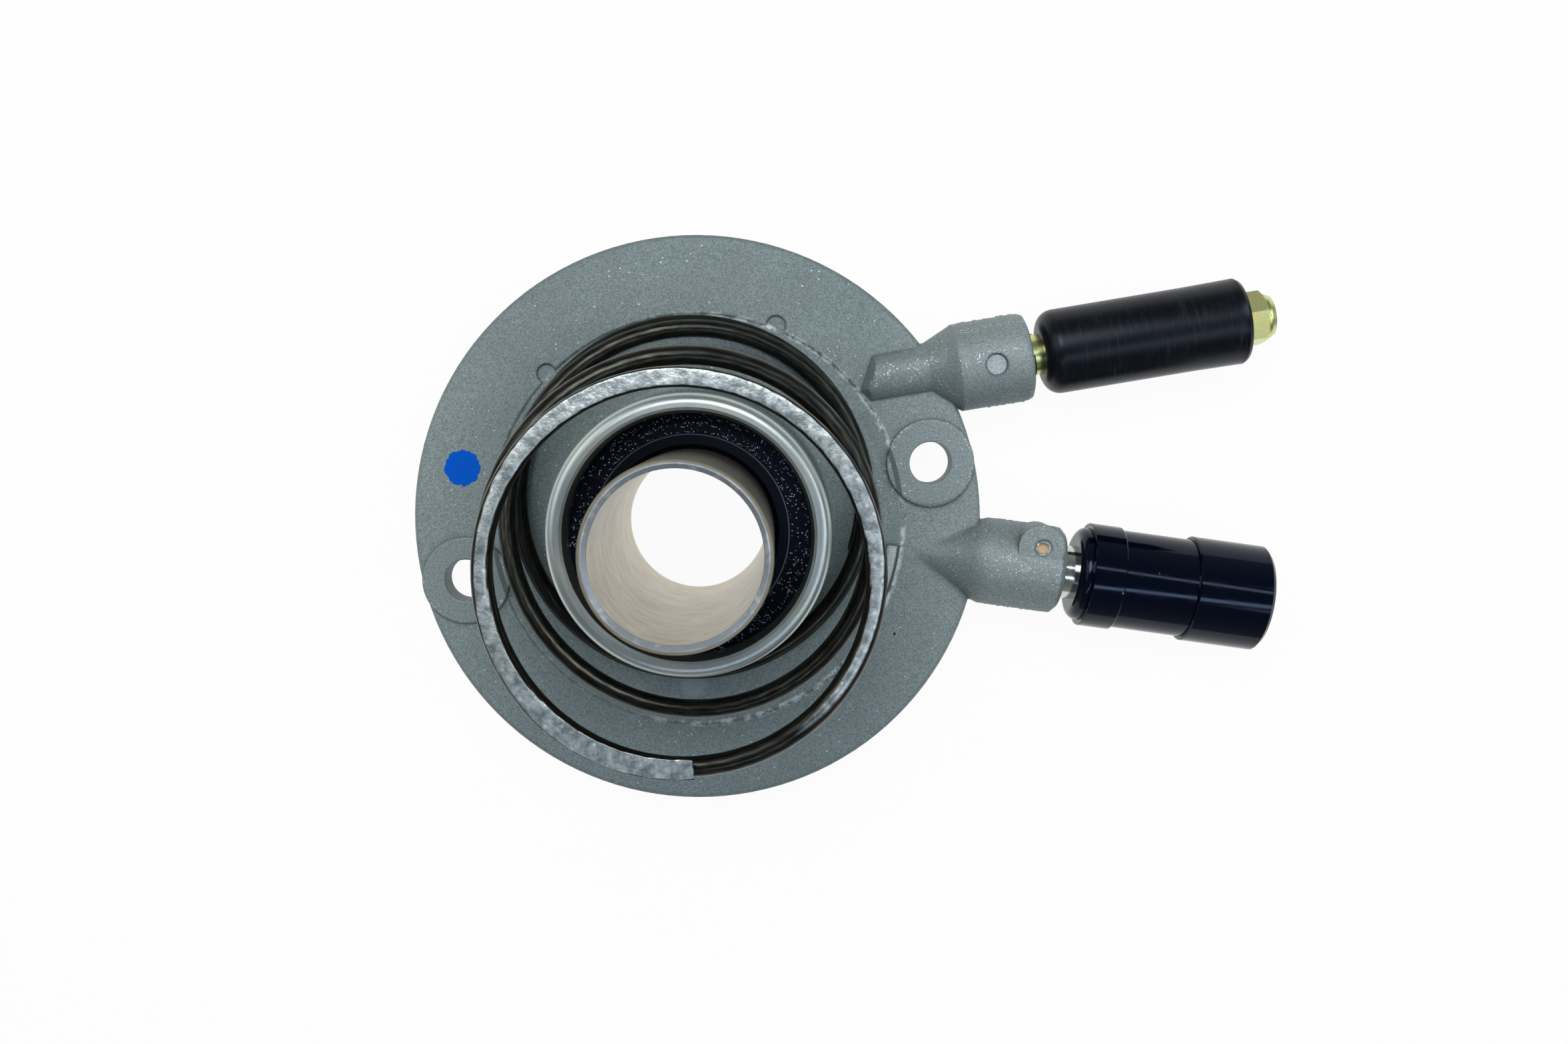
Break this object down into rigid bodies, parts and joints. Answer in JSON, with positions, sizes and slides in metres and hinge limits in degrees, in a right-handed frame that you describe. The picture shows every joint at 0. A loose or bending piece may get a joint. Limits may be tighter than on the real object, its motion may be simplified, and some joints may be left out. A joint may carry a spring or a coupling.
{
  "type": "concentric slave cylinder",
  "caption": "Concentric slave cylinder: annular hydraulic piston on a guide tube in a cast flanged housing, with conical preload spring, bleed screw and line coupling.",
  "frame": {"origin": "on the guide tube axis, in the plane of the mounting face under the flange", "axes": "+Z along the tube towards the clutch, +X towards the side where the two ports leave, +Y completes a right-handed frame"},
  "size_m": [0.1989, 0.13, 0.0877],
  "materials": {
    "cast_aluminium": "shot-blasted casting",
    "tube_steel": "drawn, oiled",
    "zinc_steel": "zinc plated",
    "spring_steel": "dark oil-tempered, ends ground bright",
    "yellow_zinc_steel": "yellow chromate plated",
    "black_rubber": "satin",
    "stem_steel": "bright plated",
    "pin_steel": "spring steel",
    "black_plastic": "gloss",
    "white_plastic": "matte"
  },
  "bodies": {
    "housing": {"housing": "cast_aluminium", "guide_tube": "tube_steel", "tube_seal": "black_rubber", "preload_spring": "spring_steel", "coupling_stem": "stem_steel", "stem_seal": "black_rubber", "stem_backup_ring": "white_plastic", "roll_pin": "pin_steel", "coupling_socket": "black_plastic", "socket_seal": "black_rubber"},
    "piston": {"piston_sleeve": "zinc_steel", "dust_wiper": "black_rubber", "seal_backup_ring": "white_plastic", "piston_seal": "black_rubber"},
    "bleed_sleeve": {"bleed_sleeve": "black_rubber"},
    "bleed_screw": {"bleed_screw": "yellow_zinc_steel"}
  },
  "joints": [
    {"name": "piston_slide", "type": "slide", "parent": "housing", "child": "piston", "axis": [0, 0, 1], "range_m": [0, 0.011]},
    {"name": "bleed_advance", "type": "slide", "parent": "housing", "child": "bleed_sleeve", "axis": [0.9864, 0.1642, 0], "range_m": [0, 0.00095]},
    {"name": "bleed_turn", "type": "hinge", "parent": "bleed_sleeve", "child": "bleed_screw", "pos_m": [0.07571, 0.03784, 0.003], "axis": [0.9864, 0.1642, 0], "range_deg": [0, 270]}
  ],
  "couplings": [
    {"joint": "bleed_advance", "follows": "bleed_turn", "m_per_rad": 0.00019894}
  ]
}
